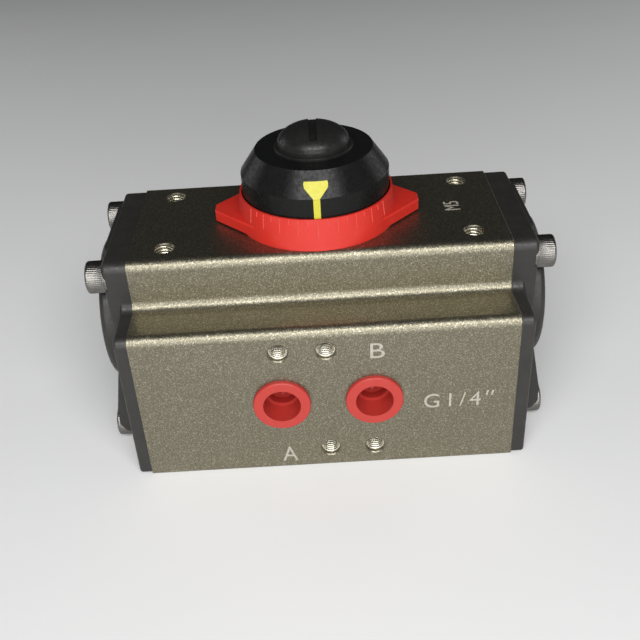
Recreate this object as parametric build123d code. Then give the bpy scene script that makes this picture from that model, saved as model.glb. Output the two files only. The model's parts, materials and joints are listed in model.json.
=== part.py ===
from build123d import *
import math
import os

# Rack-and-pinion quarter-turn pneumatic actuator, double acting.
# Millimetres, +Z up. The origin is on the output pinion's axis, in the base
# face. +X runs along the cylinder bore, and the air ports face -Y.

# Housing
BODY_HALF_LENGTH = 49.0
BODY_HEIGHT = 58.0
TIER_HALF_WIDTH = 22.5      # upper tier, around the bore
PORT_FACE = 36.5            # distance of the port face in front of the axis
LEDGE_Z = 44.5              # top of the port block
EDGE_ROUND = 2.5
END_CHAMFER = 0.25
BASE_ROUND = 0.6
BORE_RADIUS = 19.0
BORE_Z = 32.5

# Interfaces
NAMUR_TOP_X, NAMUR_TOP_Y = 40.0, 15.0
VALVE_PITCH_X, VALVE_PITCH_Z = 12.0, 16.0
PORT_Z = 22.0
PORT_RADIUS = 5.9           # G1/4 core
PORT_DEPTH = 13.0
M5, M6 = 2.5, 3.0           # thread radii
F03_CIRCLE, F05_CIRCLE = 18.0, 25.0
HOLE_DEPTH, TOP_HOLE_DEPTH = 9.0, 8.0
CAP_HOLE_DEPTH = 6.2        # stops short of the top holes
CHAMFER = 0.3
GALLERY_Y, GALLERY_Z, GALLERY_RADIUS = -28.0, 31.0, 2.0
AIR_WAY_RADIUS = 3.0

# End caps, drawn for the right-hand one
CAP_INSET = 0.4             # outline set in from the housing's
PLATE_X, PLATE_ROUND = 52.5, 0.8
TIER_X, TIER_ROUND = 55.5, 1.0
PAD_X, PAD_HALF_WIDTH, PAD_ROUND = 56.2, 12.0, 0.4
DOME_X, DOME_RADIUS, DOME_ROUND = 59.4, 20.0, 1.6
POCKET_RADIUS, POCKET_X = 16.0, 56.8
PAD_TOP_INSET = 0.2
AIR_SLOT_X, AIR_SLOT_END = 51.3, -10.0
SEAL_BORE, SEAL_GALLERY = 19.9, 3.0     # inner radii of the seal loop
SEAL_WIDTH, SEAL_DEPTH = 1.6, 1.2
UPPER_SCREWS = [(17.25, 52.0), (-17.25, 52.0)]
LOWER_SCREWS = [(15.5, 4.6), (-17.9, 4.6)]
CAP_SCREWS = UPPER_SCREWS + LOWER_SCREWS
RIB_Y = (21.4, -23.6)       # ribs beside the lower screws
RIB_BOTTOM, RIB_TOP, RIB_HALF_THICKNESS, RIB_ROUND = 5.4, 27.0, 0.6, 1.6
RIB_BULGE = [(1.2, 5.4), (3.0, 8.0), (2.8, 13.0)]    # height over the tier, z
SPOT_FACE_X, SPOT_FACE_RADIUS = 54.7, 5.1
WASHER_RADIUS, WASHER_THICKNESS = 4.5, 0.6
SCREW_HEAD_RADIUS, SCREW_HEAD_HEIGHT = 4.25, 4.9
SCREW_EDGE, KEY_HALF, KEY_DEPTH = 0.4, 2.0, 2.5
CAP_SCREW_LENGTH = 12.0
SCREW_PLAY = 0.25           # radial, in the cap's screw holes
FREE_PLAY = 0.05            # radial running clearance
THREAD_GAP = 0.04           # keeps a screw just clear of its tapped hole

# Pinion and racks
MODULE = 1.25
TEETH = 12
PITCH_RADIUS = MODULE * TEETH / 2
PRESSURE_ANGLE = math.radians(20)
RACK_ADDENDUM = 0.85        # short, so that the racks don't undercut 12 teeth
BACKLASH = 0.12             # taken off each tooth, measured along the pitch line
FLANK_STEPS = 4
JOURNAL_RADIUS = 10.0
SHAFT_RADIUS = 6.6
SHAFT_BOTTOM, GEAR_BOTTOM, GEAR_TOP = 0.5, 20.5, 39.5
CAM_TOP, SHAFT_TOP, FLATS_BOTTOM = 45.5, 76.6, 66.5
DRIVE_SQUARE, DRIVE_DEPTH = 11.0, 12.0
CAM_SEAT = 13.4             # octagon across flats
CAM_SEAT_CORNER, CAM_FIT = 0.4, 0.02
SHAFT_FLATS, SHAFT_TIP_RADIUS = 9.0, 6.4
SHAFT_SCREW_DEPTH = 12.0
GROOVE_BOTTOM, GROOVE_TOP, GROOVE_RADIUS = 60.9, 62.0, 5.9
EYE_X, EYE_Y, EYE_RADIUS, EYE_HOLE = 3.6, 8.0, 1.5, 0.7
SNAP_RING_RADIUS, SNAP_RING_TOP = 8.6, 61.9

# Pinion supports in the housing: radius, bottom, top
LOWER_GLAND = (12.05, 3.0, 5.2)
LOWER_BEARING = (11.5, 6.6, 13.2)
UPPER_BEARING = (8.2, 51.6, 54.8)
UPPER_GLAND = (8.65, 55.4, 57.5)
SEAL_CORD = 1.0             # radius of the two shaft seals' cord
SHAFT_PLAY = 0.3            # radial, between the seals and bearings
THRUST_BEARING = (10.6, 59.2, 60.0)
THRUST_WASHER = (10.0, 60.05, 60.85)
THRUST_PLAY, WASHER_PLAY = 0.1, 0.02

# Pistons, drawn for the right-hand one
PISTON_RADIUS, PISTON_EDGE = 18.7, 0.5
GUIDE_RADIUS = BORE_RADIUS - 0.07
HEAD_INNER, HEAD_OUTER = 24.7, 36.7
HEAD_RECESS_RADIUS, HEAD_RECESS = 12.0, 4.0
BAND_GROOVE = (17.4, 26.4, 30.4)        # radius, from x, to x
RING_GROOVE = (16.3, 31.8, 35.0)
RACK_END, RACK_BACK = -16.0, -20.0
RACK_BOTTOM, RACK_TOP = 23.5, 38.5
RACK_CLEARANCE = 1.5        # depth of a gap below the pitch line
RACK_GAPS = range(-4, 2)    # gaps between teeth, counted from the pinion axis
PAD_X0, PAD_X1, PAD_RADIUS = -13.0, 3.0, 17.0
PAD_BELOW, PAD_ABOVE = 5.0, 4.5

# End stops
STOP_X, STOP_Z = 8.5, 42.5
STOP_REACH = 9.5            # distance of the cam's stop faces from the axis
STOP_SCREW_END, STOP_EDGE = 33.0, 0.6
STOP_KEY_HALF, STOP_KEY_DEPTH = 1.5, 3.5
CAM_RADIUS, CAM_HUB, LOBE_INNER, LOBE_OUTER = 12.9, 9.0, 4.5, 13.0
STOP_SEAL_RADIUS, STOP_WASHER_RADIUS, STOP_WASHER_PLAY = 4.6, 6.0, 0.3
STOP_SEAL_Y, STOP_WASHER_Y, STOP_NUT_Y = 22.5, 23.7, 24.9
NUT_HALF, NUT_HEIGHT, NUT_CORNER = 5.0, 5.0, 5.75

# Position indicator
RING_TOP, RING_TOP_RADIUS, RING_BASE_RADIUS = 66.3, 20.3, 21.3
BOSS_RADIUS, BOSS_TOP = 11.5, 59.2
RING_FLOOR, RING_PLAY = 59.4, 0.3
EAR_TIP_X, EAR_TIP_HALF, EAR_CORNER = 27.3, 1.9, 1.2
EAR_TANGENT = 20.9          # the ears' sides run out of the skirt at their top
EAR_BOTTOM, EAR_THICKNESS, EAR_EDGE = 58.5, 2.9, 0.4
ROTOR_RADIUS, ROTOR_BOTTOM, ROTOR_SHOULDER = 19.5, 59.9, 71.5
ROTOR_TOP, ROTOR_TOP_RADIUS = 77.4, 15.4
ROTOR_WALL, ROTOR_ROOF, ROTOR_HUB = 2.0, 74.8, 9.2
SNAP_RECESS_TOP, ROTOR_FIT = 62.2, 0.03
POINTER_STEM, POINTER_NECK_Z = 0.85, 71.6
POINTER_HEAD = [(2.9, 73.8), (3.05, 74.6), (2.9, 75.2)]
POINTER_DEPTH, POINTER_PROUD, POINTER_HEAD_PROUD = 0.7, 0.1, 0.3
FIELD_PROUD, FIELD_HALF_LOW, FIELD_HALF_TOP = 0.18, 8.1, 6.7
KNOB_RADIUS, KNOB_RIM_TOP, KNOB_EDGE = 10.4, 78.0, 0.2
CROWN_RADIUS, CROWN_BASE, CROWN_TOP = 9.4, 78.6, 83.6
SLOT_HALF, SLOT_FLOOR = 1.0, 81.6
KNOB_SCREW_DEPTH = 10.0

# Port plugs
PLUG_RADIUS, PLUG_FLANGE, PLUG_EDGE = 7.5, 1.2, 0.5
PLUG_LENGTH = 8.8
PLUG_MOUTH_RADIUS, PLUG_STEP_DEPTH = 4.9, 5.2
PLUG_BOTTOM_RADIUS, PLUG_DEPTH = 4.0, 7.8


def block(x0, x1, y0, y1, z0, z1):
    """Box between two corners."""
    middle = Pos((x0 + x1) / 2, (y0 + y1) / 2, (z0 + z1) / 2)
    return middle * Box(x1 - x0, y1 - y0, z1 - z0)


def rod(radius, start, end):
    """Cylinder from one point to another."""
    run = Vector(*end) - Vector(*start)
    base = Plane(origin=start, z_dir=run)
    low = (Align.CENTER, Align.CENTER, Align.MIN)
    return base * Cylinder(radius, run.length, align=low)


def pipe(outer, inner, start, end):
    """Hollow cylinder from one point to another."""
    return rod(outer, start, end) - rod(inner, start, end)


def drilled(radius, mouth, inward, depth):
    """Cutter for a tapped hole with a chamfered mouth."""
    base = Plane(origin=mouth, z_dir=inward)
    low = (Align.CENTER, Align.CENTER, Align.MIN)
    hole = Cylinder(radius, depth, align=low)
    return base * (hole + Cone(radius + CHAMFER, radius, CHAMFER, align=low))


def upright(radius, low, high):
    """Cylinder on the pinion axis."""
    return rod(radius, (0, 0, low), (0, 0, high))


def bush(outer, inner, low, high):
    """Hollow cylinder on the pinion axis."""
    return upright(outer, low, high) - upright(inner, low, high)


def o_ring(middle, axis, ring_radius, cord_radius):
    """Torus about an axis."""
    return Plane(origin=middle, z_dir=axis) * Torus(ring_radius, cord_radius)


def turned(*points):
    """Solid of revolution about Z from (radius, z) points; repeated ones are dropped."""
    outline = [point for k, point in enumerate(points) if point != points[k - 1]]
    return revolve(make_face(Plane.XZ * Polyline(*outline, close=True)), Axis.Z)


def along_x(face, x0, x1):
    """Extrude a face drawn in (y, z) from x0 to x1."""
    return extrude(Plane(origin=(x0, 0, 0), x_dir=(0, 1, 0), z_dir=(1, 0, 0)) * face, x1 - x0)


def corner_points():
    """The four sign pairs of a rectangular pattern."""
    return [(sx, sy) for sx in (-1, 1) for sy in (-1, 1)]


def section(inset=0.0):
    """Outline in (y, z): a bore tier with a lower port block in front."""
    tier, front = TIER_HALF_WIDTH - inset, PORT_FACE - inset
    top, ledge, base = BODY_HEIGHT - inset, LEDGE_Z - inset, inset
    outline = make_face(Polyline(
        (tier, base), (tier, top), (-tier, top), (-tier, ledge),
        (-front, ledge), (-front, base), close=True))
    upper = outline.vertices().filter_by(lambda v: v.Y > base + 1)
    outline = fillet(upper, EDGE_ROUND)
    return fillet(outline.vertices().group_by(Axis.Y)[0], BASE_ROUND)


def seal_outline(radius_bore, radius_gallery):
    """Loop in (y, z) round the bore and the air gallery."""
    bore = Pos(0, BORE_Z) * Circle(radius_bore)
    gallery = Pos(GALLERY_Y, GALLERY_Z) * Circle(radius_gallery)
    return make_hull(bore.edges() + gallery.edges())


def seal_loop():
    """Ring-shaped face of the end cap seal."""
    outer = seal_outline(SEAL_BORE + SEAL_WIDTH, SEAL_GALLERY + SEAL_WIDTH)
    return outer - seal_outline(SEAL_BORE, SEAL_GALLERY)


def housing():
    """Extruded body with its bore, ports, galleries and tapped holes."""
    end = BODY_HALF_LENGTH
    body = along_x(section(), -end, end)
    for face in (body.faces().sort_by(Axis.X)[0], body.faces().sort_by(Axis.X)[-1]):
        body = chamfer(face.edges(), END_CHAMFER)
    body += upright(BOSS_RADIUS, BODY_HEIGHT - 1, BOSS_TOP)
    body -= rod(BORE_RADIUS, (-end - 1, 0, BORE_Z), (end + 1, 0, BORE_Z))

    # Pinion: lower journal, seal gland and bearing pocket, then the same above
    body -= upright(JOURNAL_RADIUS + SHAFT_PLAY, -1, GEAR_BOTTOM)
    body -= upright(*LOWER_GLAND)
    body -= upright(LOWER_BEARING[0], LOWER_BEARING[1], GEAR_BOTTOM)
    body -= upright(SHAFT_RADIUS + SHAFT_PLAY, CAM_TOP, BOSS_TOP + 1)
    body -= upright(UPPER_BEARING[0], CAM_TOP, UPPER_BEARING[2])
    body -= upright(*UPPER_GLAND)

    # Actuator flange in the base, positioner holes in the top
    for circle, radius in ((F03_CIRCLE, M5), (F05_CIRCLE, M6)):
        reach = circle * math.sqrt(0.5)
        for sx, sy in corner_points():
            body -= drilled(radius, (sx * reach, sy * reach, 0), (0, 0, 1), HOLE_DEPTH)
    for sx, sy in corner_points():
        mouth = (sx * NAMUR_TOP_X, sy * NAMUR_TOP_Y, BODY_HEIGHT)
        body -= drilled(M5, mouth, (0, 0, -1), TOP_HOLE_DEPTH)

    # Valve face: two ports, two valve screws and two coding holes
    for sx in (-1, 1):
        mouth = (sx * VALVE_PITCH_X, -PORT_FACE, PORT_Z)
        body -= drilled(PORT_RADIUS, mouth, (0, 1, 0), PORT_DEPTH)
        for x in (0, sx * VALVE_PITCH_X):
            mouth = (x, -PORT_FACE, PORT_Z - sx * VALVE_PITCH_Z)
            body -= drilled(M5, mouth, (0, 1, 0), HOLE_DEPTH)

    # Air ways: port A to the middle chamber, port B to both end chambers
    middle, ends = -VALVE_PITCH_X, VALVE_PITCH_X
    body -= rod(AIR_WAY_RADIUS, (middle, PORT_DEPTH - PORT_FACE - 1, PORT_Z),
                (middle, -BORE_RADIUS / 2, PORT_Z))
    body -= rod(GALLERY_RADIUS, (ends, GALLERY_Y, PORT_Z), (ends, GALLERY_Y, GALLERY_Z))
    body -= rod(GALLERY_RADIUS, (-end - 1, GALLERY_Y, GALLERY_Z), (end + 1, GALLERY_Y, GALLERY_Z))

    # End cap screws and stop screws
    for side in (-1, 1):
        for y, z in CAP_SCREWS:
            body -= rod(M5, (side * (end + 1), y, z), (side * (end - CAP_HOLE_DEPTH), y, z))
        x = side * STOP_X
        body -= rod(M6 + FREE_PLAY, (x, 0, STOP_Z), (x, TIER_HALF_WIDTH + 1, STOP_Z))
    return body


def end_cap():
    """Cast cover with a domed centre, spot faces for its screws and an air slot."""
    face_x = BODY_HALF_LENGTH
    plate = along_x(section(CAP_INSET), face_x, PLATE_X)
    plate = fillet(plate.faces().sort_by(Axis.X)[-1].edges(), PLATE_ROUND)
    half, top = TIER_HALF_WIDTH - CAP_INSET, BODY_HEIGHT - CAP_INSET
    tier = block(PLATE_X - 1.5, TIER_X, -half, half, CAP_INSET, top)
    tier = fillet(tier.edges().filter_by(Axis.X).group_by(Axis.Z)[-1], EDGE_ROUND)
    tier = fillet(tier.faces().sort_by(Axis.X)[-1].edges(), TIER_ROUND)
    pad = block(TIER_X - 1, PAD_X, -PAD_HALF_WIDTH, PAD_HALF_WIDTH,
                BORE_Z, top - PAD_TOP_INSET)
    pad = fillet(pad.faces().sort_by(Axis.X)[-1].edges(), PAD_ROUND)
    dome = rod(DOME_RADIUS, (TIER_X - 1, 0, BORE_Z), (DOME_X, 0, BORE_Z))
    dome = fillet(dome.faces().sort_by(Axis.X)[-1].edges(), DOME_ROUND)
    cap = plate + tier + pad + dome
    for y in RIB_Y:
        cap += screw_rib(y)
    cap -= rod(POCKET_RADIUS, (face_x - 1, 0, BORE_Z), (POCKET_X, 0, BORE_Z))
    cap -= block(face_x - 1, AIR_SLOT_X, GALLERY_Y, AIR_SLOT_END,
                 GALLERY_Z - GALLERY_RADIUS, GALLERY_Z + GALLERY_RADIUS)
    cap -= rod(GALLERY_RADIUS, (face_x - 1, GALLERY_Y, GALLERY_Z),
               (AIR_SLOT_X, GALLERY_Y, GALLERY_Z))
    cap -= along_x(seal_loop(), face_x - 1, face_x + SEAL_DEPTH)
    for y, z in CAP_SCREWS:
        cap -= rod(M5 + SCREW_PLAY, (face_x - 1, y, z), (SPOT_FACE_X + 1, y, z))
        cap -= rod(SPOT_FACE_RADIUS, (SPOT_FACE_X, y, z), (DOME_X + 1, y, z))
    return cap


def screw_rib(y):
    """Thin rib beside a lower screw head, bulging outwards at its lower end."""
    root = PLATE_X - 0.5
    bulge = [(TIER_X + rise, z) for rise, z in RIB_BULGE]
    outline = Polyline((root, RIB_BOTTOM), *bulge, (TIER_X + 0.2, RIB_TOP), (root, RIB_TOP),
                       close=True)
    face = make_face(Plane.XZ * outline)
    face = fillet([v for v in face.vertices() if v.X > TIER_X + 1], RIB_ROUND)
    return Pos(0, y, 0) * extrude(face, RIB_HALF_THICKNESS, both=True)


def cap_screws(side):
    """Four socket head screws, one solid each."""
    seat = side * (SPOT_FACE_X + WASHER_THICKNESS)
    outer = seat + side * SCREW_HEAD_HEIGHT
    screws = []
    for y, z in CAP_SCREWS:
        head = rod(SCREW_HEAD_RADIUS, (seat, y, z), (outer, y, z))
        rims = head.edges().filter_by(GeomType.CIRCLE)
        head = chamfer(rims.sort_by(Axis.X)[-1 if side > 0 else 0], SCREW_EDGE)
        key = Plane(origin=(outer - side * KEY_DEPTH, y, z), z_dir=(side, 0, 0))
        head -= key * extrude(RegularPolygon(KEY_HALF, 6, major_radius=False), KEY_DEPTH + 1)
        tip = seat - side * CAP_SCREW_LENGTH
        screws.append(head + rod(M5 - THREAD_GAP, (seat + side, y, z), (tip, y, z)))
    return Compound(screws)


def cap_washers(side):
    """Four plain washers, one solid each."""
    inner, outer = side * SPOT_FACE_X, side * (SPOT_FACE_X + WASHER_THICKNESS)
    return Compound([pipe(WASHER_RADIUS, M5 + FREE_PLAY, (inner, y, z), (outer, y, z))
                     for y, z in CAP_SCREWS])


def involute(radius, base_radius):
    """Polar angle that the involute has turned through at a radius."""
    angle = math.acos(min(1.0, base_radius / radius))
    return math.tan(angle) - angle


def pinion_gear():
    """Spur teeth, with one tooth centred on +Y and one on -Y."""
    base_radius = PITCH_RADIUS * math.cos(PRESSURE_ANGLE)
    root, tip = PITCH_RADIUS - MODULE, PITCH_RADIUS + MODULE
    half_tooth = (math.pi * MODULE / 4 - BACKLASH / 2) / PITCH_RADIUS
    half_base = half_tooth + involute(PITCH_RADIUS, base_radius)
    step = (tip - base_radius) / FLANK_STEPS
    flank = [base_radius + step * k for k in range(FLANK_STEPS + 1)]
    right = [(root, half_base)] + [(r, half_base - involute(r, base_radius)) for r in flank]
    outline = []
    for tooth in range(TEETH):
        middle = tooth * 2 * math.pi / TEETH
        outline += [(r, middle - turn) for r, turn in right]
        outline += [(r, middle + turn) for r, turn in reversed(right)]
    points = [(r * math.cos(a), r * math.sin(a)) for r, a in outline]
    blank = extrude(make_face(Polyline(*points, close=True)), GEAR_TOP - GEAR_BOTTOM)
    return Pos(0, 0, GEAR_BOTTOM) * blank


def cam_seat(across, height):
    """Octagonal seat with its corners turned down."""
    octagon = extrude(RegularPolygon(across / 2, 8, major_radius=False), height)
    return octagon & Cylinder(across / 2 + CAM_SEAT_CORNER, 3 * height)


def shaft_tip(radius, flats, z0, z1):
    """Round shaft end with two flats facing +X and -X."""
    slab = block(-flats / 2, flats / 2, -radius - 1, radius + 1, z0, z1)
    return upright(radius, z0, z1) & slab


def output_pinion():
    """One-piece shaft: star drive socket, journal, gear, cam seat and top shaft."""
    shaft = upright(JOURNAL_RADIUS, SHAFT_BOTTOM, GEAR_BOTTOM)
    shaft += pinion_gear()
    shaft += Pos(0, 0, GEAR_TOP) * cam_seat(CAM_SEAT, CAM_TOP - GEAR_TOP)
    shaft += upright(SHAFT_RADIUS, CAM_TOP - 1, FLATS_BOTTOM)
    shaft += shaft_tip(SHAFT_TIP_RADIUS, SHAFT_FLATS, FLATS_BOTTOM - 1, SHAFT_TOP)
    square = Rectangle(DRIVE_SQUARE, DRIVE_SQUARE)
    star = square + Rot(0, 0, 45) * square
    shaft -= Pos(0, 0, SHAFT_BOTTOM) * extrude(star, DRIVE_DEPTH)
    shaft -= upright(M6, SHAFT_TOP - SHAFT_SCREW_DEPTH, SHAFT_TOP + 1)
    return shaft - bush(SHAFT_RADIUS + 1, GROOVE_RADIUS, GROOVE_BOTTOM, GROOVE_TOP)


def stop_cam():
    """Cam plate with one stop face for each end of the quarter turn."""
    lobe_a = block(-LOBE_OUTER, -LOBE_INNER, 0, STOP_REACH, GEAR_TOP, CAM_TOP)
    lobe_b = block(0, STOP_REACH, -LOBE_OUTER, -LOBE_INNER, GEAR_TOP, CAM_TOP)
    cam = upright(CAM_HUB, GEAR_TOP, CAM_TOP) + lobe_a + lobe_b
    cam &= upright(CAM_RADIUS, GEAR_TOP, CAM_TOP)
    return cam - Pos(0, 0, GEAR_TOP - 1) * cam_seat(CAM_SEAT + CAM_FIT, CAM_TOP - GEAR_TOP + 2)


def rack_teeth():
    """Cutter for the rack of the right-hand piston, which faces +Y."""
    pitch = math.pi * MODULE
    half_gap = pitch / 4 + BACKLASH / 2
    slope = math.tan(PRESSURE_ANGLE)
    tip, root = -PITCH_RADIUS + RACK_ADDENDUM, -PITCH_RADIUS - RACK_CLEARANCE
    wide = half_gap + slope * (RACK_ADDENDUM + 1)
    narrow = half_gap - slope * RACK_CLEARANCE
    cutter = None
    for gap in RACK_GAPS:
        x = gap * pitch
        face = make_face(Polyline((x - wide, tip + 1), (x + wide, tip + 1),
                                  (x + narrow, root), (x - narrow, root), close=True))
        tooth = Pos(0, 0, RACK_BOTTOM - 1) * extrude(face, RACK_TOP - RACK_BOTTOM + 2)
        cutter = tooth if cutter is None else cutter + tooth
    return cutter


def piston():
    """Right-hand piston: round head, and a rack arm on the -Y side."""
    head = rod(PISTON_RADIUS, (HEAD_INNER, 0, BORE_Z), (HEAD_OUTER, 0, BORE_Z))
    head = chamfer(head.edges().filter_by(GeomType.CIRCLE), PISTON_EDGE)
    head -= rod(HEAD_RECESS_RADIUS, (HEAD_OUTER - HEAD_RECESS, 0, BORE_Z),
                (HEAD_OUTER + 1, 0, BORE_Z))
    head -= bore_ring(BORE_RADIUS + 1, *BAND_GROOVE)
    head -= bore_ring(BORE_RADIUS + 1, *RING_GROOVE)
    arm = block(RACK_END, HEAD_INNER + 1, RACK_BACK, -PITCH_RADIUS + RACK_ADDENDUM,
                RACK_BOTTOM, RACK_TOP)
    arm &= rod(PISTON_RADIUS, (2 * RACK_END, 0, BORE_Z), (HEAD_OUTER, 0, BORE_Z))
    arm -= rack_teeth()
    return head + (arm - guide_pad(BORE_RADIUS + 1))


def bore_ring(outer, inner, x0, x1):
    """Hollow cylinder on the bore's axis."""
    return pipe(outer, inner, (x0, 0, BORE_Z), (x1, 0, BORE_Z))


def guide_pad(outer_radius=GUIDE_RADIUS):
    """Pad in the back of the rack arm, running on the bore."""
    band = bore_ring(outer_radius, PAD_RADIUS, PAD_X0, PAD_X1)
    back = block(PAD_X0, PAD_X1, RACK_BACK, RACK_BACK / 2,
                 BORE_Z - PAD_BELOW, BORE_Z + PAD_ABOVE)
    return band & back


def piston_band():
    """Wear band round the piston head."""
    return bore_ring(GUIDE_RADIUS, *BAND_GROOVE)


def piston_seal():
    """O-ring round the piston head."""
    groove, x0, x1 = RING_GROOVE
    cord = (GUIDE_RADIUS - groove) / 2
    return o_ring(((x0 + x1) / 2, 0, BORE_Z), (1, 0, 0), groove + cord, cord)


def snap_ring():
    """Open retaining ring with two eyes, in the shaft's groove."""
    low, high = GROOVE_BOTTOM, SNAP_RING_TOP
    gap = EYE_X - EYE_RADIUS + 0.1
    ring = bush(SNAP_RING_RADIUS, GROOVE_RADIUS, low, high)
    ring -= block(-gap, gap, 0, 2 * EYE_Y, low - 1, high + 1)
    for side in (-1, 1):
        ring += rod(EYE_RADIUS, (side * EYE_X, EYE_Y, low), (side * EYE_X, EYE_Y, high))
        ring -= rod(EYE_HOLE, (side * EYE_X, EYE_Y, low - 1), (side * EYE_X, EYE_Y, high + 1))
    return ring


def stop_screw(side):
    """Socket set screw, from the cam's stop face out through the rear wall."""
    x, tip = side * STOP_X, STOP_REACH + FREE_PLAY
    screw = rod(M6, (x, tip, STOP_Z), (x, STOP_SCREW_END, STOP_Z))
    screw = chamfer(screw.edges().filter_by(GeomType.CIRCLE), STOP_EDGE)
    key = Plane(origin=(x, STOP_SCREW_END - STOP_KEY_DEPTH, STOP_Z), z_dir=(0, 1, 0))
    hexagon = RegularPolygon(STOP_KEY_HALF, 6, major_radius=False)
    return screw - key * extrude(hexagon, STOP_KEY_DEPTH + 1)


def stop_ring(side, outer, inner, y0, y1):
    """Hollow cylinder round a stop screw."""
    x = side * STOP_X
    return pipe(outer, inner, (x, y0, STOP_Z), (x, y1, STOP_Z))


def stop_nut(side):
    """Hexagon lock nut."""
    base = Plane(origin=(side * STOP_X, STOP_NUT_Y, STOP_Z), z_dir=(0, 1, 0))
    low = (Align.CENTER, Align.CENTER, Align.MIN)
    blank = Cylinder(NUT_CORNER, NUT_HEIGHT, align=low)
    blank = chamfer(blank.edges().filter_by(GeomType.CIRCLE), STOP_EDGE)
    nut = blank & extrude(RegularPolygon(NUT_HALF, 6, major_radius=False), NUT_HEIGHT)
    return base * (nut - Cylinder(M6 + FREE_PLAY, 4 * NUT_HEIGHT))


def ring_ears():
    """Flat ears of the graduated ring, tangent to its skirt."""
    reach = math.hypot(EAR_TIP_X, EAR_TIP_HALF)
    turn = math.acos(EAR_TANGENT / reach) + math.atan2(EAR_TIP_HALF, EAR_TIP_X)
    touch = (EAR_TANGENT * math.cos(turn), EAR_TANGENT * math.sin(turn))
    outline = []
    for sx, sy in ((1, 1), (-1, 1), (-1, -1), (1, -1)):
        near, far = (sx * touch[0], sy * touch[1]), (sx * EAR_TIP_X, sy * EAR_TIP_HALF)
        outline += [far, near] if sx * sy > 0 else [near, far]
    face = make_face(Polyline(*outline, close=True))
    face = fillet([v for v in face.vertices() if abs(v.X) > EAR_TIP_X - 1], EAR_CORNER)
    plate = Pos(0, 0, EAR_BOTTOM) * extrude(face, EAR_THICKNESS)
    return fillet(plate.faces().sort_by(Axis.Z)[-1].edges(), EAR_EDGE)


def graduated_ring():
    """Fixed ring round the indicator, standing on the housing's boss."""
    skirt = turned((BOSS_RADIUS, BODY_HEIGHT), (RING_BASE_RADIUS, BODY_HEIGHT),
                   (RING_TOP_RADIUS, RING_TOP), (BOSS_RADIUS, RING_TOP))
    ring = skirt + ring_ears()
    ring -= upright(ROTOR_RADIUS + RING_PLAY, RING_FLOOR, RING_TOP + 1)
    return ring - upright(BOSS_RADIUS, BODY_HEIGHT - 1, RING_TOP)


def rotor_outline(on_wall=0.0, on_cone=0.0):
    """Outer profile points (radius, z) of the indicator's wall and cone."""
    return [(ROTOR_RADIUS + on_wall, ROTOR_BOTTOM), (ROTOR_RADIUS + on_wall, ROTOR_SHOULDER),
            (ROTOR_RADIUS + on_cone, ROTOR_SHOULDER), (ROTOR_TOP_RADIUS + on_cone, ROTOR_TOP)]


def both_sides(shape):
    """The shape at the front, and a copy at the rear."""
    return [shape, turned_over(shape)]


def pointer_inserts():
    """Two pointers, each with a broad head and a narrow stem."""
    half = [(POINTER_STEM, ROTOR_BOTTOM + 0.4), (POINTER_STEM, POINTER_NECK_Z)] + POINTER_HEAD
    points = half + [(-x, z) for x, z in reversed(half)]
    prism = extrude(make_face(Plane.XZ * Polyline(*points, close=True)), 2 * ROTOR_RADIUS)
    inner = [(ROTOR_HUB, ROTOR_TOP), (ROTOR_HUB, ROTOR_BOTTOM)]
    shell = turned(*rotor_outline(POINTER_PROUD, POINTER_HEAD_PROUD), *inner)
    shell -= turned(*rotor_outline(-POINTER_DEPTH, -POINTER_DEPTH), *inner)
    return Compound([solid for side in both_sides(prism) for solid in (shell & side).solids()])


def pointer_field():
    """Slightly raised field on the cone, round a pointer."""
    outer = turned((ROTOR_RADIUS + FIELD_PROUD, ROTOR_SHOULDER),
                   (ROTOR_TOP_RADIUS + FIELD_PROUD, ROTOR_TOP),
                   (ROTOR_HUB, ROTOR_TOP), (ROTOR_HUB, ROTOR_SHOULDER))
    low, high = FIELD_HALF_LOW, FIELD_HALF_TOP
    sides = make_face(Plane.XZ * Polyline((-low, ROTOR_SHOULDER), (low, ROTOR_SHOULDER),
                                          (high, ROTOR_TOP), (-high, ROTOR_TOP), close=True))
    return outer & extrude(sides, 2 * ROTOR_RADIUS)


def indicator_rotor():
    """Black cup that turns with the shaft and carries the pointers."""
    cup = turned(*rotor_outline(), (0, ROTOR_TOP), (0, ROTOR_BOTTOM))
    for field in both_sides(pointer_field()):
        cup += field
    wall, hub, below = ROTOR_RADIUS - ROTOR_WALL, ROTOR_HUB, ROTOR_BOTTOM - 1
    cone_radius = wall - (ROTOR_ROOF - ROTOR_SHOULDER + 1)
    cup -= turned((hub, below), (wall, below), (wall, ROTOR_SHOULDER - 1),
                  (cone_radius, ROTOR_ROOF), (hub, ROTOR_ROOF))
    cup -= upright(ROTOR_HUB + 0.1, below, SNAP_RECESS_TOP)
    cup -= upright(SHAFT_RADIUS + ROTOR_FIT, below, FLATS_BOTTOM)
    cup -= shaft_tip(SHAFT_TIP_RADIUS + ROTOR_FIT, SHAFT_FLATS + 2 * ROTOR_FIT,
                     FLATS_BOTTOM - 1, ROTOR_TOP + 1)
    return cup - pointer_inserts()


def indicator_screw():
    """Slotted cap with a crowned top, and a threaded shank below it."""
    rise = CROWN_TOP - CROWN_BASE
    crown = Pos(0, 0, CROWN_BASE) * scale(Sphere(CROWN_RADIUS), by=(1, 1, rise / CROWN_RADIUS))
    crown &= upright(CROWN_RADIUS + 1, CROWN_BASE, CROWN_TOP + 1)
    rim = upright(KNOB_RADIUS, ROTOR_TOP, KNOB_RIM_TOP)
    rim = chamfer(rim.faces().sort_by(Axis.Z)[-1].edges(), KNOB_EDGE)
    cap = rim + upright(CROWN_RADIUS, ROTOR_TOP, CROWN_BASE) + crown
    cap -= block(-SLOT_HALF, SLOT_HALF, -KNOB_RADIUS, KNOB_RADIUS, SLOT_FLOOR, CROWN_TOP + 1)
    return cap + upright(M6 - THREAD_GAP, SHAFT_TOP - KNOB_SCREW_DEPTH, ROTOR_TOP + 1)


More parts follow.
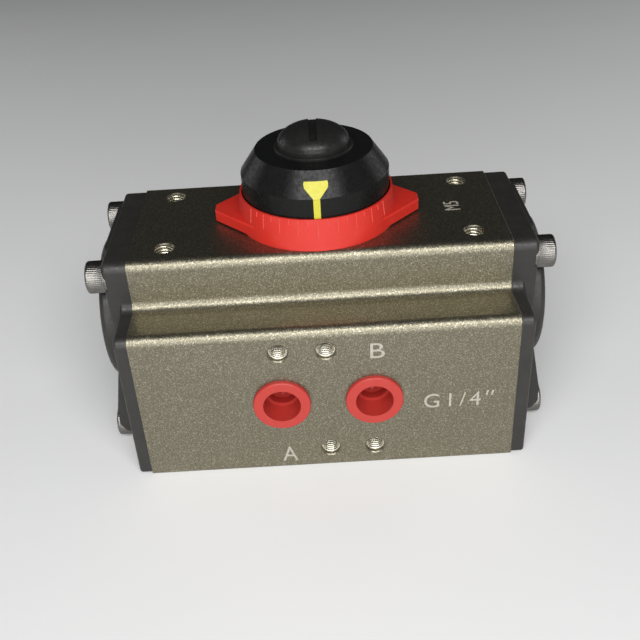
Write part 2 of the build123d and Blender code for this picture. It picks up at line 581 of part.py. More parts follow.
def port_plug(side):
    """Push-in cup with a flange, closed at its inner end."""
    x, face = side * VALVE_PITCH_X, -PORT_FACE

    def along_y(radius, y0, y1):
        return rod(radius, (x, face + y0, PORT_Z), (x, face + y1, PORT_Z))

    flange = along_y(PLUG_RADIUS, -PLUG_FLANGE, 0)
    flange = fillet(flange.faces().sort_by(Axis.Y)[0].edges(), PLUG_EDGE)
    plug = flange + along_y(PORT_RADIUS - FREE_PLAY, -PLUG_EDGE, PLUG_LENGTH)
    plug -= along_y(PLUG_MOUTH_RADIUS, -PLUG_FLANGE - 1, PLUG_STEP_DEPTH)
    return plug - along_y(PLUG_BOTTOM_RADIUS, 0, PLUG_DEPTH)


def gland_seal(gland):
    """O-ring in one of the housing's glands round the shaft."""
    radius, low, high = gland
    return o_ring((0, 0, (low + high) / 2), (0, 0, 1), radius - SEAL_CORD, SEAL_CORD)


def bearing(seat, inner):
    """Bush that fills a seat (radius, bottom, top) down to an inner radius."""
    radius, low, high = seat
    return bush(radius, inner, low, high)


def turned_over(shape):
    """The same piece on the other side of the pinion axis."""
    return Rot(0, 0, 180) * shape


def all_parts():
    """Every node's name and shape."""
    parts = {
        "housing": housing(),
        "output_pinion": output_pinion(),
        "stop_cam": stop_cam(),
        "pinion_bearing_lower": bearing(LOWER_BEARING, JOURNAL_RADIUS + FREE_PLAY),
        "pinion_bearing_upper": bearing(UPPER_BEARING, SHAFT_RADIUS + FREE_PLAY),
        "pinion_seal_lower": gland_seal(LOWER_GLAND),
        "pinion_seal_upper": gland_seal(UPPER_GLAND),
        "thrust_bearing": bearing(THRUST_BEARING, SHAFT_RADIUS + THRUST_PLAY),
        "thrust_washer": bearing(THRUST_WASHER, SHAFT_RADIUS + WASHER_PLAY),
        "snap_ring": snap_ring(),
        "graduated_ring": graduated_ring(),
        "indicator_rotor": indicator_rotor(),
        "pointer_inserts": pointer_inserts(),
        "indicator_screw": indicator_screw(),
    }
    cap, loop = end_cap(), along_x(seal_loop(), BODY_HALF_LENGTH, BODY_HALF_LENGTH + SEAL_DEPTH)
    for name, side in (("left", -1), ("right", 1)):
        parts[f"end_cap_{name}"] = cap if side > 0 else mirror(cap, Plane.YZ)
        parts[f"end_cap_seal_{name}"] = loop if side > 0 else mirror(loop, Plane.YZ)
        parts[f"end_cap_screws_{name}"] = cap_screws(side)
        parts[f"end_cap_washers_{name}"] = cap_washers(side)
        for node, shape in (("piston", piston()), ("piston_seal", piston_seal()),
                            ("piston_wear_band", piston_band()), ("rack_guide_pad", guide_pad())):
            parts[f"{node}_{name}"] = shape if side > 0 else turned_over(shape)
    for name, side in (("closed", -1), ("open", 1)):
        parts[f"stop_screw_{name}"] = stop_screw(side)
        parts[f"stop_screw_nut_{name}"] = stop_nut(side)
        parts[f"stop_screw_washer_{name}"] = stop_ring(
            side, STOP_WASHER_RADIUS, M6 + STOP_WASHER_PLAY, STOP_WASHER_Y, STOP_NUT_Y)
        parts[f"stop_screw_seal_{name}"] = stop_ring(
            side, STOP_SEAL_RADIUS, M6 + FREE_PLAY, STOP_SEAL_Y, STOP_WASHER_Y)
    for name, side in (("a", -1), ("b", 1)):
        parts[f"port_plug_{name}"] = port_plug(side)
    return parts


os.makedirs("parts", exist_ok=True)
for node_name, node_shape in all_parts().items():
    export_step(node_shape, f"parts/{node_name}.step")
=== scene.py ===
import json
import math

import bmesh
import bpy
from mathutils import Matrix, Vector


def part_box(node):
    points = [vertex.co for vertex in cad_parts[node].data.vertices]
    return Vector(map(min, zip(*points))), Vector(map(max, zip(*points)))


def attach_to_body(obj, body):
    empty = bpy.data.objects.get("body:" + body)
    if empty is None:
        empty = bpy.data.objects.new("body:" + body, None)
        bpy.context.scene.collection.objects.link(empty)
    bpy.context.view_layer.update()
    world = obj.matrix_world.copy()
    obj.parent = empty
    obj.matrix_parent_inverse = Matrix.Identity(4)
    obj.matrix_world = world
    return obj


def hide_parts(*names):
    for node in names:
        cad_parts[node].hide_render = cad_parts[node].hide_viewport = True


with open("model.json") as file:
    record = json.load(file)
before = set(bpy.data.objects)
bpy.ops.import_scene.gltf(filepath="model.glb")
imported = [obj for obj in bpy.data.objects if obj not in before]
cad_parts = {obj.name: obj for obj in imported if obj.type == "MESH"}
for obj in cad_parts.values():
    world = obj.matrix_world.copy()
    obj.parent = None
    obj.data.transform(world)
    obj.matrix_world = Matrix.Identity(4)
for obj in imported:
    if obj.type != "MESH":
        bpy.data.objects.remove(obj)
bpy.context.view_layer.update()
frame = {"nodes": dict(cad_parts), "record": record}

# Metres, in the frame of the CAD model: +Z up, the port face looks along -Y.
MM = 0.001

# Camera: metres and degrees, with the lens and its sensor in millimetres
AIM = Vector((-0.0010, -0.0070, 0.0277))
DISTANCE = 0.2492
AZIMUTH, ELEVATION, ROLL = 0.23, 33.76, -3.47
LENS, SENSOR_WIDTH = 49.4, 36.0
NEAR_CLIP = 0.01

# Area lights: name, place, size and watts
SOFTBOXES = (
    ("key", (0.0, -0.50, 0.53), (0.76, 0.29), 4.9),
    ("front", (0.0, -0.90, 0.20), (1.0, 0.25), 3.4),
    ("fill_left", (-0.75, -0.25, 0.35), (0.5, 0.5), 0.25),
    ("fill_right", (0.75, -0.25, 0.35), (0.5, 0.5), 0.25),
    ("rear_left", (-0.55, 0.32, 0.22), (0.3, 0.3), 0.3),
    ("rear_right", (0.55, 0.32, 0.22), (0.3, 0.3), 0.3),
)
SKY_COLOR, SKY_STRENGTH = (0.9, 0.95, 1.0, 1.0), 0.035
FLOOR_REACH = 3.0

# Part of a noise pattern's range over which it changes a finish
NOISE_SPAN = (0.35, 0.65)

# Thread ridges, which rise to their full height over THREAD_RUN_IN turns. The crest's height,
# the crest's two edges and the ridge's width are parts of the pitch.
M5_PITCH, M6_PITCH = 0.8 * MM, 1.0 * MM
M5_LARGEST_RADIUS = 2.7 * MM
THREAD_START, THREAD_END = 0.35 * MM, 7.4 * MM
THREAD_STEPS = 28
THREAD_RUN_IN = 0.5
CREST_HEIGHT, CREST_EDGES, RIDGE_WIDTH = 0.54, (0.40, 0.52), 0.92
RIDGE_ROOT = 0.03 * MM

# Cap screws. The knurls deepen over KNURL_FADE at both ends of their band. KEY values belong to
# the hexagon socket: its edge is broken between the two depths, and it ends in a shallow cone.
HEAD_RADIUS, HEAD_HEIGHT = 4.25 * MM, 4.9 * MM
SEAT_EDGE_INSET, SEAT_EDGE_HEIGHT = 0.15 * MM, 0.12 * MM
KNURLS, KNURL_DEPTH, KNURL_FADE = 48, 0.14 * MM, 0.25 * MM
KNURL_START, KNURL_END = 0.35 * MM, HEAD_HEIGHT - 0.6 * MM
HEAD_CORNERS = 4 * KNURLS
RIM_ROUND, RIM_STEPS = 0.55 * MM, 4
KEY_APOTHEM, KEY_DEPTH = 2.0 * MM, 2.5 * MM
KEY_EDGE, KEY_EDGE_DEPTHS = 0.08 * MM, (0.2 * MM, 0.3 * MM)
KEY_LIP_RADIUS = 2.45 * MM
KEY_TIP_APOTHEM, KEY_TIP_DEPTH = 0.4 * MM, 2.9 * MM
SHANK_RADIUS, SHANK_LENGTH, SHANK_CORNERS = 2.46 * MM, 12 * MM, 32
SHANK_OVERLAP = 0.05 * MM

# Scale on the ring's conical skirt: degrees between marks, and marks on each side of the middle
SKIRT_TOP_RADIUS, SKIRT_BASE_RADIUS = 20.3 * MM, 21.3 * MM
SCALE_STEP, SCALE_MARKS = 7, 8
SCALE_TOP_GAP = 0.25 * MM
MIDDLE_MARK, LONG_MARK, SHORT_MARK = 5.2 * MM, 3.9 * MM, 1.5 * MM
MARK_HALF_WIDTH, MARK_RISE, MARK_SUNK = 0.13 * MM, 0.16 * MM, 0.1 * MM
MARK_BEVEL, MARK_CREST = 0.12 * MM, 0.6

# Moulding marks in the plugs: thickness of the end wall, offset below the middle
GATE_WALL, GATE_DROP, GATE_RADIUS = 1.0 * MM, 2.7 * MM, 0.95 * MM
GATE_FLATNESS, GATE_SUNK = 0.5, 0.05 * MM
GATE_RINGS, GATE_TURN, GATE_CORNERS = 5, math.pi / 9, 24

# Lettering: capitals are CAPITAL_SHARE of the type size, scales are relative to LETTER_HEIGHT
LETTER_HEIGHT, LETTER_DEPTH = 4.5 * MM, 0.04 * MM
CAPITAL_SHARE = 0.7
STROKE_GAIN = -0.02 * MM
LETTER_STEPS = 6

# Marks on the port face: name, text, left edge, foot, scale, stretch and spacing
PORT_FACE_MARKS = (
    ("mark_port_a", "A", -13.1 * MM, 2.15 * MM, 1.14, 0.84, 1.0),
    ("mark_port_b", "B", 10.55 * MM, 35.0 * MM, 1.04, 1.18, 1.0),
    ("mark_port_size", "G1/4″", 24.6 * MM, 17.9 * MM, 1.01, 0.98, 1.25),
)

# Mark on the top face, read from the right: foot (x), left edge (y), scale and stretch
TOP_FACE_HEIGHT = 58 * MM
TOP_MARK_FOOT, TOP_MARK_START = 38.4 * MM, -3.3 * MM
TOP_MARK_SCALE, TOP_MARK_STRETCH = 0.93, 0.74


# --- materials ------------------------------------------------------------

class Finish:
    """A node material under construction, with short calls for its nodes."""

    def __init__(self, name, color, roughness, metallic=0.0):
        self.material = bpy.data.materials.new(name)
        self.material.use_nodes = True
        self.tree = self.material.node_tree
        self.shader = self.tree.nodes["Principled BSDF"]
        self.color, self.roughness = color, roughness
        self.set("Metallic", metallic)
        self.set("Base Color", (*color, 1.0))
        self.set("Roughness", roughness)
        self.place = self.add("ShaderNodeTexCoord").outputs["Object"]
        self.normal = None

    def add(self, kind, **settings):
        """New node of a kind, with its own settings."""
        node = self.tree.nodes.new(kind)
        for key, value in settings.items():
            setattr(node, key, value)
        return node

    def link(self, source, target):
        self.tree.links.new(source, target)

    def set(self, socket, value):
        self.shader.inputs[socket].default_value = value

    def noise(self, size, detail=3.0, stretch=(1, 1, 1)):
        """Noise between 0 and 1 whose features are about size metres across."""
        mapping = self.add("ShaderNodeMapping")
        mapping.inputs["Scale"].default_value = stretch
        self.link(self.place, mapping.inputs["Vector"])
        node = self.add("ShaderNodeTexNoise")
        node.inputs["Scale"].default_value = 1 / size
        node.inputs["Detail"].default_value = detail
        self.link(mapping.outputs["Vector"], node.inputs["Vector"])
        return node.outputs["Fac"]

    def cells(self, size, output="Distance", smooth=False):
        """Cell pattern with cells about size metres across."""
        node = self.add("ShaderNodeTexVoronoi")
        node.feature = "SMOOTH_F1" if smooth else "F1"
        node.inputs["Scale"].default_value = 1 / size
        self.link(self.place, node.inputs["Vector"])
        return node.outputs[output]

    def flakes(self, size, tilt):
        """Turns the surface by a small random angle in each cell, so that it glitters."""
        centred = self.add("ShaderNodeVectorMath", operation="SUBTRACT")
        centred.inputs[1].default_value = (0.5, 0.5, 0.5)
        self.link(self.cells(size, "Color"), centred.inputs[0])
        scaled = self.add("ShaderNodeVectorMath", operation="SCALE")
        scaled.inputs["Scale"].default_value = tilt
        self.link(centred.outputs["Vector"], scaled.inputs[0])
        summed = self.add("ShaderNodeVectorMath", operation="ADD")
        self.link(self.add("ShaderNodeNewGeometry").outputs["Normal"], summed.inputs[0])
        self.link(scaled.outputs["Vector"], summed.inputs[1])
        unit = self.add("ShaderNodeVectorMath", operation="NORMALIZE")
        self.link(summed.outputs["Vector"], unit.inputs[0])
        self.normal = unit.outputs["Vector"]
        self.link(self.normal, self.shader.inputs["Normal"])

    def ramp(self, source, low, high, at=NOISE_SPAN):
        """Maps a value to a range, between two stops."""
        node = self.add("ShaderNodeMapRange")
        node.inputs["From Min"].default_value, node.inputs["From Max"].default_value = at
        node.inputs["To Min"].default_value = low
        node.inputs["To Max"].default_value = high
        self.link(source, node.inputs["Value"])
        return node.outputs["Result"]

    def tint(self, source, other, at=NOISE_SPAN):
        """Mixes the base colour towards another one by a pattern."""
        mix = self.add("ShaderNodeMix", data_type="RGBA")
        base = self.shader.inputs["Base Color"]
        if base.is_linked:
            self.link(base.links[0].from_socket, mix.inputs["A"])
        else:
            mix.inputs["A"].default_value = (*self.color, 1.0)
        mix.inputs["B"].default_value = (*other, 1.0)
        self.link(self.ramp(source, 0.0, 1.0, at), mix.inputs["Factor"])
        self.link(mix.outputs["Result"], base)

    def roughen(self, source, spread):
        """Varies the roughness round its value."""
        low, high = self.roughness - spread, self.roughness + spread
        self.link(self.ramp(source, low, high), self.shader.inputs["Roughness"])

    def bump(self, source, height, strength):
        """Adds relief of about height metres."""
        node = self.add("ShaderNodeBump")
        node.inputs["Distance"].default_value = height
        node.inputs["Strength"].default_value = strength
        self.link(source, node.inputs["Height"])
        if self.normal:
            self.link(self.normal, node.inputs["Normal"])
        self.normal = node.outputs["Normal"]
        self.link(self.normal, self.shader.inputs["Normal"])


def anodised():
    """Bead-blasted, hard-anodised aluminium: olive grey with a fine glitter."""
    f = Finish("anodised", (0.212, 0.194, 0.141), 0.43, metallic=1.0)
    f.tint(f.cells(0.20 * MM, "Color"), (0.56, 0.53, 0.42), at=(0.60, 1.0))
    f.roughen(f.noise(0.5 * MM, 2.0), 0.06)
    f.flakes(0.27 * MM, 0.17)
    f.bump(f.noise(0.25 * MM, 2.0), 0.012 * MM, 0.4)
    return f.material


def raw_aluminium():
    """Bare metal of the tapped threads."""
    f = Finish("raw_aluminium", (0.90, 0.86, 0.72), 0.34, metallic=1.0)
    f.roughen(f.noise(0.4 * MM), 0.08)
    f.bump(f.noise(0.15 * MM), 0.01 * MM, 0.4)
    return f.material


def cast_coating():
    """Dark satin coating on a die casting."""
    f = Finish("cast_coating", (0.020, 0.0192, 0.0172), 0.44)
    f.tint(f.noise(5 * MM, 4.0), (0.026, 0.0248, 0.0222))
    f.roughen(f.noise(1.2 * MM, 4.0), 0.09)
    f.bump(f.noise(0.55 * MM, 4.0), 0.045 * MM, 0.45)
    f.bump(f.cells(0.8 * MM, smooth=True), 0.03 * MM, 0.3)
    return f.material


def steel(name, color, roughness, grain):
    """Plain or plated metal, with fine working marks stretched by the grain's three scales."""
    f = Finish(name, color, roughness, metallic=1.0)
    f.roughen(f.noise(0.6 * MM, 4.0, stretch=grain), 0.09)
    f.tint(f.noise(2.5 * MM, 3.0), tuple(c * 0.8 for c in color))
    f.bump(f.noise(0.25 * MM, 3.0, stretch=grain), 0.012 * MM, 0.5)
    return f.material


def moulded(name, color, worn, roughness=0.36, specular=0.5):
    """Injection-moulded plastic with a faint texture and handling marks."""
    f = Finish(name, color, roughness)
    f.set("Specular IOR Level", specular)
    f.tint(f.noise(3 * MM, 5.0), worn, at=(0.52, 0.8))
    f.roughen(f.noise(0.9 * MM, 5.0), 0.10)
    f.bump(f.noise(0.35 * MM, 3.0), 0.02 * MM, 0.35)
    f.bump(f.noise(6 * MM, 2.0), 0.05 * MM, 0.25)
    return f.material


def rubber():
    """Matt nitrile."""
    f = Finish("nitrile", (0.018, 0.018, 0.018), 0.7)
    f.tint(f.noise(1 * MM, 4.0), (0.03, 0.03, 0.03))
    f.bump(f.noise(0.2 * MM), 0.02 * MM, 0.4)
    return f.material


def laser_mark():
    """Pale frosted metal of laser-marked letters."""
    f = Finish("laser_mark", (0.47, 0.44, 0.37), 0.6)
    f.tint(f.noise(0.4 * MM), (0.38, 0.355, 0.30))
    f.bump(f.noise(0.15 * MM), 0.01 * MM, 0.4)
    return f.material


def studio_floor():
    """Pale seamless paper."""
    f = Finish("studio_floor", (0.93, 0.93, 0.93), 0.85)
    f.tint(f.noise(60 * MM, 3.0), (0.92, 0.92, 0.92))
    f.bump(f.noise(1.5 * MM), 0.02 * MM, 0.1)
    return f.material


FINISHES = {
    "anodised_body": anodised(),
    "cap_casting": cast_coating(),
    "stainless": steel("stainless", (0.23, 0.22, 0.205), 0.32, (1, 6, 6)),
    "nickel_steel": steel("nickel_steel", (0.58, 0.56, 0.52), 0.25, (1, 1, 8)),
    "spring_steel": steel("spring_steel", (0.16, 0.16, 0.17), 0.4, (1, 1, 4)),
    "piston_alloy": steel("piston_alloy", (0.55, 0.56, 0.57), 0.4, (6, 1, 1)),
    "nitrile": rubber(),
    "acetal": moulded("acetal", (0.76, 0.75, 0.70), (0.70, 0.69, 0.62)),
    "red_plastic": moulded("red_plastic", (0.60, 0.024, 0.014), (0.61, 0.034, 0.021), 0.42),
    "black_plastic": moulded("black_plastic", (0.0062, 0.0062, 0.006), (0.0085, 0.0085, 0.008),
                             0.32, specular=0.2),
    "yellow_plastic": moulded("yellow_plastic", (0.58, 0.54, 0.050), (0.54, 0.50, 0.060),
                              specular=0.3),
}
RAW = raw_aluminium()
PALE_RED = moulded("pale_red", (0.63, 0.080, 0.060), (0.62, 0.060, 0.045), 0.5)
PLUG_RED = moulded("plug_red", (0.47, 0.036, 0.027), (0.48, 0.046, 0.035), 0.45)
DUSTY_BLACK = moulded("dusty_black", (0.013, 0.0135, 0.0125), (0.019, 0.019, 0.017),
                      0.34, specular=0.3)
OWN_FINISH = {"port_plug_a": PLUG_RED, "port_plug_b": PLUG_RED, "indicator_screw": DUSTY_BLACK}
LASER_MARK = laser_mark()


# --- mesh helpers ---------------------------------------------------------

def new_piece(name, bm, material, smooth=True):
    """Object from a bmesh, with clean normals."""
    bmesh.ops.recalc_face_normals(bm, faces=bm.faces)
    mesh = bpy.data.meshes.new(name)
    bm.to_mesh(mesh)
    bm.free()
    piece = bpy.data.objects.new(name, mesh)
    bpy.context.scene.collection.objects.link(piece)
    mesh.materials.append(material)
    for face in mesh.polygons:
        face.use_smooth = smooth
    return piece


def axes_along(direction):
    """Rotation whose local Z is the direction."""
    return Vector(direction).to_track_quat("Z", "Y").to_matrix().to_4x4()


def circle(radius, z, corners):
    """Points round a circle at height z."""
    turns = [2 * math.pi * k / corners for k in range(corners)]
    return [Vector((radius * math.cos(turn), radius * math.sin(turn), z)) for turn in turns]


def loft(bm, rings, place=Matrix.Identity(4)):
    """Closed skin over rings of points, all with the same count, set at a place."""
    loops = [[bm.verts.new(place @ point) for point in ring] for ring in rings]
    for low, high in zip(loops, loops[1:]):
        for k in range(len(low)):
            nxt = (k + 1) % len(low)
            bm.faces.new((low[k], low[nxt], high[nxt], high[k]))
    bm.faces.new(list(reversed(loops[0])))
    bm.faces.new(loops[-1])


def attach(piece, body):
    """Puts a new piece on its body."""
    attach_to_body(piece, body)


# --- CAD nodes ------------------------------------------------------------

def paint_nodes():
    """Gives every CAD node its own finish, or that of its material slot."""
    for part in frame["record"]["subparts"]:
        node = frame["nodes"][part["node"]]
        node.data.materials.clear()
        finish = OWN_FINISH.get(part["node"], FINISHES[part["material_slot"]])
        node.data.materials.append(finish)


# --- threads --------------------------------------------------------------

def thread_ridge(radius, pitch):
    """Sections of the helical ridge in a tapped hole. Local Z runs into the hole."""
    turns = (THREAD_END - THREAD_START) / pitch
    sections = []
    for k in range(int(turns * THREAD_STEPS) + 1):
        angle = 2 * math.pi * k / THREAD_STEPS
        rise = CREST_HEIGHT * pitch * min(1.0, k / THREAD_STEPS / THREAD_RUN_IN)
        root, crest = radius + RIDGE_ROOT, radius - rise
        section = []
        for r, along in ((root, 0.0), (crest, CREST_EDGES[0]), (crest, CREST_EDGES[1]),
                         (root, RIDGE_WIDTH)):
            z = THREAD_START + pitch * (k / THREAD_STEPS + along)
            section.append(Vector((r * math.cos(angle), r * math.sin(angle), z)))
        sections.append(section)
    return sections


def pattern_offsets(dims):
    """Hole offsets from a pattern's middle: four on a circle, four in a rectangle, or two upright."""
    if "pcd_mm" in dims:
        half_x = half_y = dims["pcd_mm"] * MM / 2 * math.sqrt(0.5)
    elif "spacing_x_mm" in dims:
        half_x, half_y = dims["spacing_x_mm"] * MM / 2, dims["spacing_y_mm"] * MM / 2
    else:
        half = dims["spacing_y_mm"] * MM / 2
        return [Vector((0, 0, -half)), Vector((0, 0, half))]
    return [Vector((sx * half_x, sy * half_y, 0)) for sx in (-1, 1) for sy in (-1, 1)]


def hole_places():
    """Every tapped hole that the record's mounts state: (mouth, inward, radius)."""
    holes = []
    for mount in frame["record"]["mounts"]:
        dims, middle = mount["dims"], Vector(mount["pos_m"])
        inward = -Vector(mount["axis"])
        if mount["kind"] == "threaded_hole":
            middle.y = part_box("housing")[0].y
            holes.append((middle, inward, dims["r_mm"] * MM))
        elif mount["kind"] == "bolt_pattern":
            holes += [(middle + offset, inward, dims["hole_r_mm"] * MM)
                      for offset in pattern_offsets(dims)]
    return holes


def tapped_threads():
    """Thread turns in all the tapped holes, as one piece."""
    bm = bmesh.new()
    for mouth, inward, radius in hole_places():
        place = Matrix.Translation(mouth) @ axes_along(inward)
        pitch = M5_PITCH if radius < M5_LARGEST_RADIUS else M6_PITCH
        loft(bm, thread_ridge(radius, pitch), place)
    attach(new_piece("tapped_threads", bm, RAW), "body")


# --- cap screws -----------------------------------------------------------

def head_circle(radius, z):
    """Plain circle with the points of a screw head."""
    return circle(radius, z, HEAD_CORNERS)


def knurled_ring(z):
    """Circle on the head's side with one wave for each knurl."""
    points = []
    for k in range(HEAD_CORNERS):
        angle = 2 * math.pi * k / HEAD_CORNERS
        r = HEAD_RADIUS - KNURL_DEPTH * (0.5 + 0.5 * math.cos(angle * KNURLS))
        points.append(Vector((r * math.cos(angle), r * math.sin(angle), z)))
    return points


def hexagon_ring(apothem, z):
    """Hexagon with the points of a screw head."""
    points = []
    for k in range(HEAD_CORNERS):
        angle = 2 * math.pi * k / HEAD_CORNERS
        off = (angle % (math.pi / 3)) - math.pi / 6
        r = apothem / math.cos(off)
        points.append(Vector((r * math.cos(angle), r * math.sin(angle), z)))
    return points


def screw_head():
    """Rings of a socket head: plain collar, knurled band, rounded rim and hexagon socket."""
    rings = [head_circle(HEAD_RADIUS - SEAT_EDGE_INSET, 0),
             head_circle(HEAD_RADIUS, SEAT_EDGE_HEIGHT),
             head_circle(HEAD_RADIUS, KNURL_START),
             knurled_ring(KNURL_START + KNURL_FADE),
             knurled_ring(KNURL_END - KNURL_FADE),
             head_circle(HEAD_RADIUS, KNURL_END)]
    for k in range(1, RIM_STEPS + 1):
        turn = k * math.pi / (2 * RIM_STEPS)
        inset = RIM_ROUND * (1 - math.cos(turn))
        rise = RIM_ROUND * math.sin(turn)
        rings.append(head_circle(HEAD_RADIUS - inset, HEAD_HEIGHT - RIM_ROUND + rise))
    rings += [head_circle(KEY_LIP_RADIUS, HEAD_HEIGHT),
              hexagon_ring(KEY_APOTHEM + KEY_EDGE, HEAD_HEIGHT - KEY_EDGE_DEPTHS[0]),
              hexagon_ring(KEY_APOTHEM, HEAD_HEIGHT - KEY_EDGE_DEPTHS[1]),
              hexagon_ring(KEY_APOTHEM, HEAD_HEIGHT - KEY_DEPTH),
              hexagon_ring(KEY_TIP_APOTHEM, HEAD_HEIGHT - KEY_TIP_DEPTH)]
    return rings


def screw_shank():
    """Rings of the plain shank below the head, out of sight."""
    return [circle(SHANK_RADIUS, -SHANK_LENGTH, SHANK_CORNERS),
            circle(SHANK_RADIUS, SHANK_OVERLAP, SHANK_CORNERS)]


def washer_middles(end):
    """Middles (y, z) of the four washers of one cap, found from their own mesh."""
    low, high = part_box(f"end_cap_washers_{end}")
    middle = (low + high) / 2
    washers = {}
    for vertex in frame["nodes"][f"end_cap_washers_{end}"].data.vertices:
        quarter = (vertex.co.y > middle.y, vertex.co.z > middle.z)
        washers.setdefault(quarter, []).append(vertex.co)
    middles = []
    for quarter in sorted(washers):
        y_values = [point.y for point in washers[quarter]]
        z_values = [point.z for point in washers[quarter]]
        middles.append(((min(y_values) + max(y_values)) / 2, (min(z_values) + max(z_values)) / 2))
    return middles


def cap_screws(side):
    """Four knurled screws in place of the plain CAD ones."""
    end = "left" if side < 0 else "right"
    node = f"end_cap_screws_{end}"
    low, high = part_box(node)
    seat = low.x + HEAD_HEIGHT if side < 0 else high.x - HEAD_HEIGHT
    bm = bmesh.new()
    for y, z in washer_middles(end):
        place = Matrix.Translation((seat, y, z)) @ axes_along((side, 0, 0))
        loft(bm, screw_head(), place)
        loft(bm, screw_shank(), place)
    piece = new_piece(f"knurled_screws_{end}", bm, FINISHES["stainless"])
    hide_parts(node)
    attach(piece, "body")


# --- graduated ring -------------------------------------------------------

def scale_bar(degrees, length, base, top):
    """Rings of one bar, proud of the conical skirt, with a bevelled outline."""
    angle = math.radians(degrees)
    out = Vector((math.cos(angle), math.sin(angle), 0))
    across = Vector((-math.sin(angle), math.cos(angle), 0))
    lean = (SKIRT_BASE_RADIUS - SKIRT_TOP_RADIUS) / (top - base)

    def point(aside, z, lift):
        r = SKIRT_TOP_RADIUS + lean * (top - z) + lift
        return out * r + across * aside + Vector((0, 0, z))

    start = top - SCALE_TOP_GAP
    end = start - length
    crest = MARK_HALF_WIDTH * MARK_CREST
    rings = []
    for z, lift in ((start, 0), (start - MARK_BEVEL, MARK_RISE), (end + MARK_BEVEL, MARK_RISE), (end, 0)):
        rings.append([point(-MARK_HALF_WIDTH, z, -MARK_SUNK), point(MARK_HALF_WIDTH, z, -MARK_SUNK),
                      point(crest, z, lift), point(-crest, z, lift)])
    return rings


def ring_marks():
    """Raised scale bars on the red ring's skirt, front and back, long and short in turn."""
    low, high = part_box("graduated_ring")
    bm = bmesh.new()
    for middle in (-90, 90):
        for k in range(-SCALE_MARKS, SCALE_MARKS + 1):
            length = SHORT_MARK if k % 2 else LONG_MARK
            if k == 0:
                length = MIDDLE_MARK
            loft(bm, scale_bar(middle + k * SCALE_STEP, length, low.z, high.z))
    attach(new_piece("scale_marks", bm, PALE_RED, smooth=False), "body")


# --- port plugs -----------------------------------------------------------

def gate_mark(letter):
    """Small moulding mark low on the end wall of a plug's cup."""
    low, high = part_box(f"port_plug_{letter}")
    middle = (low + high) / 2
    place = Matrix.Translation((middle.x, high.y - GATE_WALL, middle.z - GATE_DROP))
    place = place @ axes_along((0, -1, 0))
    rings = []
    for k in range(GATE_RINGS):
        turn = k * GATE_TURN
        z = GATE_RADIUS * GATE_FLATNESS * math.sin(turn) - GATE_SUNK
        rings.append(circle(GATE_RADIUS * math.cos(turn), z, GATE_CORNERS))
    bm = bmesh.new()
    loft(bm, rings, place)
    attach(new_piece(f"gate_mark_{letter}", bm, PLUG_RED), f"plug_{letter}")


# --- lettering ------------------------------------------------------------

def lettering(name, text, scale, stretch, spacing):
    """Flat marking from plain sans-serif capitals, as a mesh in the XY plane."""
    curve = bpy.data.curves.new(name, "FONT")
    curve.body = text
    curve.size = LETTER_HEIGHT / CAPITAL_SHARE * scale
    curve.space_character = spacing
    curve.extrude = LETTER_DEPTH / 2
    curve.offset = STROKE_GAIN
    curve.resolution_u = LETTER_STEPS
    temporary = bpy.data.objects.new(name + "_text", curve)
    mesh = bpy.data.meshes.new_from_object(temporary)
    mesh.transform(Matrix.Diagonal((stretch, 1.0, 1.0, 1.0)))
    bpy.data.objects.remove(temporary)
    piece = bpy.data.objects.new(name, mesh)
    bpy.context.scene.collection.objects.link(piece)
    mesh.materials.clear()
    mesh.materials.append(LASER_MARK)
    return piece


def place_lettering(piece, corner, right, up):
    """Moves a marking's lower left corner to a point, with its reading directions."""
    right, up = Vector(right), Vector(up)
    turn = Matrix((right, up, right.cross(up))).transposed().to_4x4()
    piece.data.transform(Matrix.Translation(corner) @ turn)
    attach(piece, "body")


def markings():
    """Port letters and thread sizes, marked beside their holes."""
    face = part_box("housing")[0].y - LETTER_DEPTH / 2
    top = TOP_FACE_HEIGHT + LETTER_DEPTH / 2
    for name, text, x, z, scale, stretch, spacing in PORT_FACE_MARKS:
        piece = lettering(name, text, scale, stretch, spacing)
        place_lettering(piece, (x, face, z), (1, 0, 0), (0, 0, 1))
    piece = lettering("mark_hole_size", "M5", TOP_MARK_SCALE, TOP_MARK_STRETCH, 1.0)
    place_lettering(piece, (TOP_MARK_FOOT, TOP_MARK_START, top), (0, 1, 0), (-1, 0, 0))


# --- stage ----------------------------------------------------------------

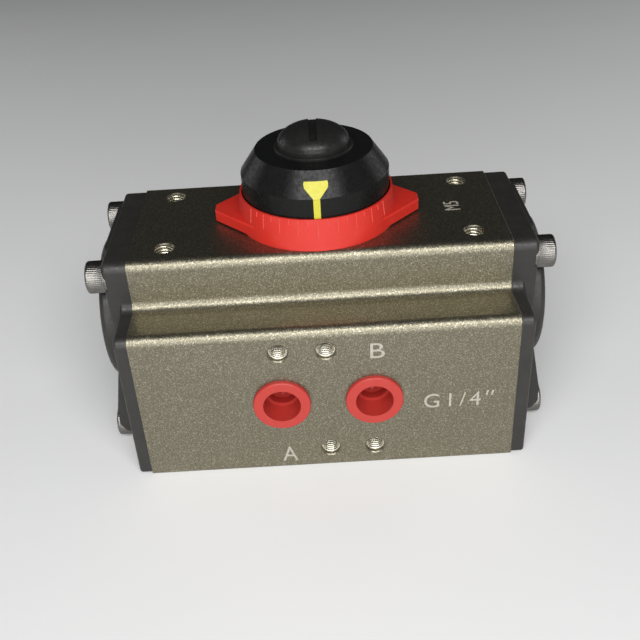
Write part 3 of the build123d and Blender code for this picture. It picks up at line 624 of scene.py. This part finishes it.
def floor():
    """Large pale floor under the part."""
    bm = bmesh.new()
    bmesh.ops.create_grid(bm, x_segments=2, y_segments=2, size=FLOOR_REACH)
    piece = new_piece("studio_floor", bm, studio_floor())


def softbox(name, place, size, power):
    """Rectangular area light that looks at the part."""
    lamp = bpy.data.lights.new(name, "AREA")
    lamp.shape = "RECTANGLE"
    lamp.size, lamp.size_y = size
    lamp.energy = power
    holder = bpy.data.objects.new(name, lamp)
    bpy.context.scene.collection.objects.link(holder)
    holder.location = place
    holder.rotation_euler = (AIM - Vector(place)).to_track_quat("-Z", "Y").to_euler()


def lights():
    """Large key above the camera, a low one in front, weak fills all round."""
    for settings in SOFTBOXES:
        softbox(*settings)
    world = bpy.data.worlds.new("studio")
    bpy.context.scene.world = world
    world.use_nodes = True
    sky = world.node_tree.nodes["Background"]
    sky.inputs["Color"].default_value = SKY_COLOR
    sky.inputs["Strength"].default_value = SKY_STRENGTH


def camera():
    """Camera at the photograph's angle, with its slight roll."""
    azimuth, elevation = math.radians(AZIMUTH), math.radians(ELEVATION)
    roll = math.radians(ROLL)
    forward = Vector((-math.sin(azimuth) * math.cos(elevation),
                      math.cos(azimuth) * math.cos(elevation), -math.sin(elevation)))
    level_right = forward.cross(Vector((0, 0, 1))).normalized()
    level_up = level_right.cross(forward)
    right = level_right * math.cos(roll) + level_up * math.sin(roll)
    up = right.cross(forward)
    lens = bpy.data.cameras.new("camera")
    lens.lens, lens.sensor_width = LENS, SENSOR_WIDTH
    lens.clip_start = NEAR_CLIP
    holder = bpy.data.objects.new("camera", lens)
    bpy.context.scene.collection.objects.link(holder)
    turn = Matrix((right, up, -forward)).transposed().to_4x4()
    holder.matrix_world = Matrix.Translation(AIM - forward * DISTANCE) @ turn
    bpy.context.scene.camera = holder


paint_nodes()
tapped_threads()
for screw_side in (-1, 1):
    cap_screws(screw_side)
ring_marks()
for plug_letter in "ab":
    gate_mark(plug_letter)
markings()
floor()
lights()
camera()

bpy.context.scene.view_settings.view_transform = "Standard"
